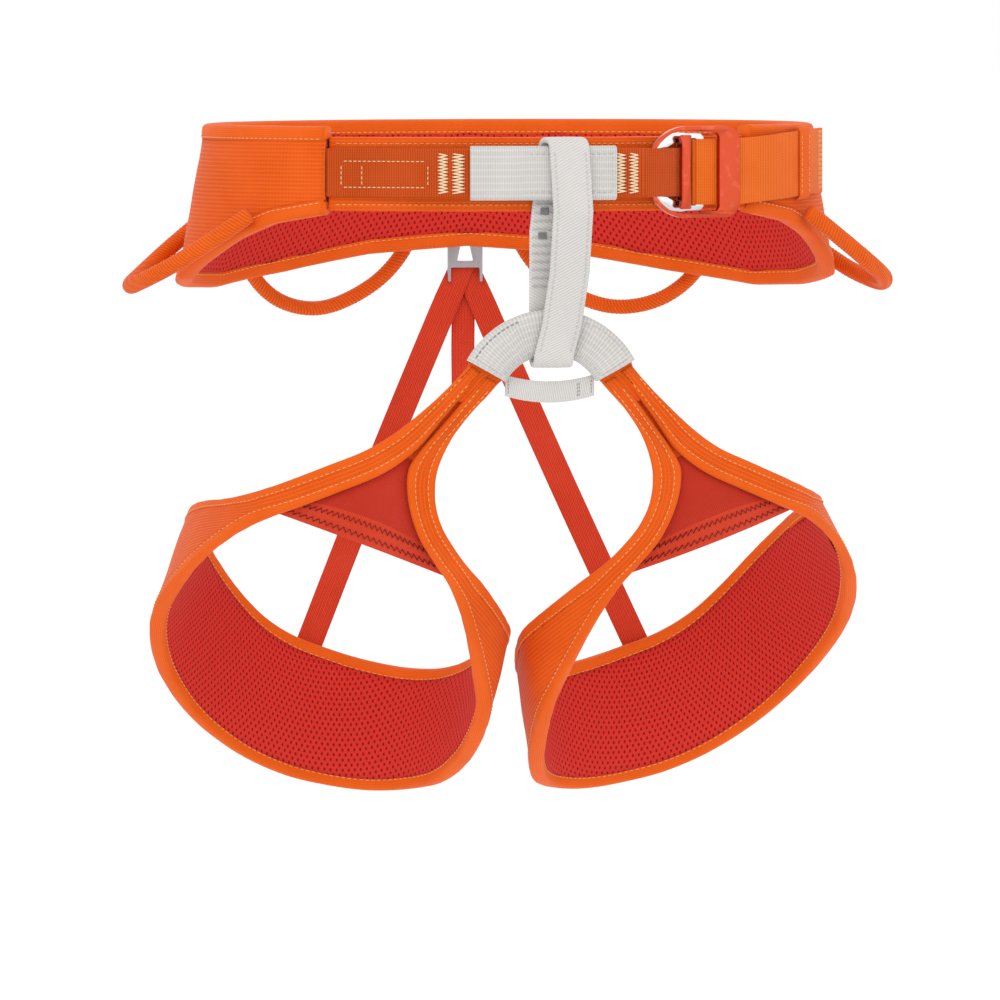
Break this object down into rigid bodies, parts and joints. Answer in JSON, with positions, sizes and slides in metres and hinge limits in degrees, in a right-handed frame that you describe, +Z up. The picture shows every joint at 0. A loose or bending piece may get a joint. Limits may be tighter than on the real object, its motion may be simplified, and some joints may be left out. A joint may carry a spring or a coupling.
{
  "type": "climbing sit harness",
  "caption": "Sport climbing sit harness with a padded waist belt, tie-in sleeves, belay loop, slide buckle, gear loops and fixed leg loops on elastic risers.",
  "frame": {"origin": "centre of the waist opening, 4 mm below the middle line of the tie-in webbing", "axes": "+X to the right of someone facing the harness, -Y its front, +Z up"},
  "size_m": [0.407, 0.2469, 0.3523],
  "materials": {
    "fabric_orange": "matte ripstop",
    "binding_orange": "matte folded tape",
    "webbing_orange": "woven webbing, slight sheen",
    "mesh_red": "perforated spacer mesh",
    "foam_grey": "closed-cell foam",
    "stretch_red": "matte stretch cloth",
    "elastic_red": "woven elastic",
    "webbing_white": "woven high-strength webbing",
    "anodised_rose": "anodised, glossy",
    "polished_steel": "polished",
    "hook_grey": "satin cast metal"
  },
  "bodies": {
    "waist_belt": {"belt_outer_fabric": "fabric_orange", "belt_load_webbing": "webbing_orange", "belt_foam_pad": "foam_grey", "belt_mesh_lining": "mesh_red", "belt_binding_top": "binding_orange", "belt_binding_bottom": "binding_orange", "front_tongue": "fabric_orange", "tongue_lining": "mesh_red", "tie_in_webbing": "webbing_orange", "tie_in_sleeve": "webbing_white", "adjust_strap": "webbing_orange", "buckle_rear_frame": "polished_steel", "strap_keeper": "fabric_orange", "rear_hook": "hook_grey", "rear_hook_tab": "webbing_orange", "riser_tail": "elastic_red", "lower_sleeve": "webbing_white", "lower_tie_in_webbing": "webbing_orange", "leg_bridge_strap": "webbing_white", "gear_loop_patch_inner_left": "webbing_orange", "gear_loop_patch_inner_right": "webbing_orange", "gear_loop_patch_outer_left": "webbing_orange", "gear_loop_patch_outer_right": "webbing_orange"},
    "belay_loop": {"belay_loop": "webbing_white"},
    "buckle_front": {"buckle_front_frame": "anodised_rose", "buckle_centre_bar": "anodised_rose"},
    "strap_tail": {"strap_tail": "webbing_orange"},
    "gear_loop_front_left": {"gear_loop_front_left": "webbing_orange"},
    "gear_loop_rear_left": {"gear_loop_rear_left": "webbing_orange"},
    "gear_loop_front_right": {"gear_loop_front_right": "webbing_orange"},
    "gear_loop_rear_right": {"gear_loop_rear_right": "webbing_orange"},
    "leg_loop_left": {"leg_fabric_left": "fabric_orange", "leg_webbing_left": "webbing_orange", "leg_foam_left": "foam_grey", "leg_lining_left": "mesh_red", "leg_binding_upper_left": "binding_orange", "leg_binding_lower_left": "binding_orange", "stretch_panel_left": "stretch_red", "panel_elastic_left": "elastic_red", "riser_left": "elastic_red", "riser_patch_left": "elastic_red"},
    "leg_loop_right": {"leg_fabric_right": "fabric_orange", "leg_webbing_right": "webbing_orange", "leg_foam_right": "foam_grey", "leg_lining_right": "mesh_red", "leg_binding_upper_right": "binding_orange", "leg_binding_lower_right": "binding_orange", "stretch_panel_right": "stretch_red", "panel_elastic_right": "elastic_red", "riser_right": "elastic_red", "riser_patch_right": "elastic_red"}
  },
  "joints": [
    {"name": "leg_swing_left", "type": "hinge", "parent": "waist_belt", "child": "leg_loop_left", "pos_m": [-0.034, -0.1159, -0.09825], "axis": [1, 0, 0], "range_deg": [-35, 12], "stiffness_Nm_per_rad": 0.6, "deforming": ["riser_left"]},
    {"name": "leg_swing_right", "type": "hinge", "parent": "waist_belt", "child": "leg_loop_right", "pos_m": [0.034, -0.1159, -0.09825], "axis": [1, 0, 0], "range_deg": [-35, 12], "stiffness_Nm_per_rad": 0.6, "deforming": ["riser_right"]},
    {"name": "buckle_tilt", "type": "hinge", "parent": "waist_belt", "child": "buckle_front", "pos_m": [0.07305, -0.10479, 0.004], "axis": [0, 0, -1], "range_deg": [0, 12]},
    {"name": "strap_adjust", "type": "hinge", "parent": "waist_belt", "child": "strap_tail", "pos_m": [0.04624, 0.02569, 0.004], "axis": [0, 0, 1], "range_deg": [0, 5]},
    {"name": "belay_shift", "type": "slide", "parent": "waist_belt", "child": "belay_loop", "axis": [1, 0, 0], "range_m": [-0.002, 0.002]},
    {"name": "gear_front_flex_left", "type": "hinge", "parent": "waist_belt", "child": "gear_loop_front_left", "pos_m": [-0.14646, -0.00571, -0.023], "axis": [-0.1081, 0.9889, -0.1019], "range_deg": [0, 26], "stiffness_Nm_per_rad": 0.02},
    {"name": "gear_rear_swing_left", "type": "hinge", "parent": "waist_belt", "child": "gear_loop_rear_left", "pos_m": [-0.07309, 0.09515, -0.0225], "axis": [0.9444, 0.3248, 0.0502], "range_deg": [0, 50]},
    {"name": "gear_front_flex_right", "type": "hinge", "parent": "waist_belt", "child": "gear_loop_front_right", "pos_m": [0.14646, -0.00571, -0.023], "axis": [-0.1081, -0.9889, 0.1019], "range_deg": [0, 26], "stiffness_Nm_per_rad": 0.02},
    {"name": "gear_rear_swing_right", "type": "hinge", "parent": "waist_belt", "child": "gear_loop_rear_right", "pos_m": [0.07309, 0.09515, -0.0225], "axis": [0.9444, -0.3248, -0.0502], "range_deg": [0, 50]}
  ]
}
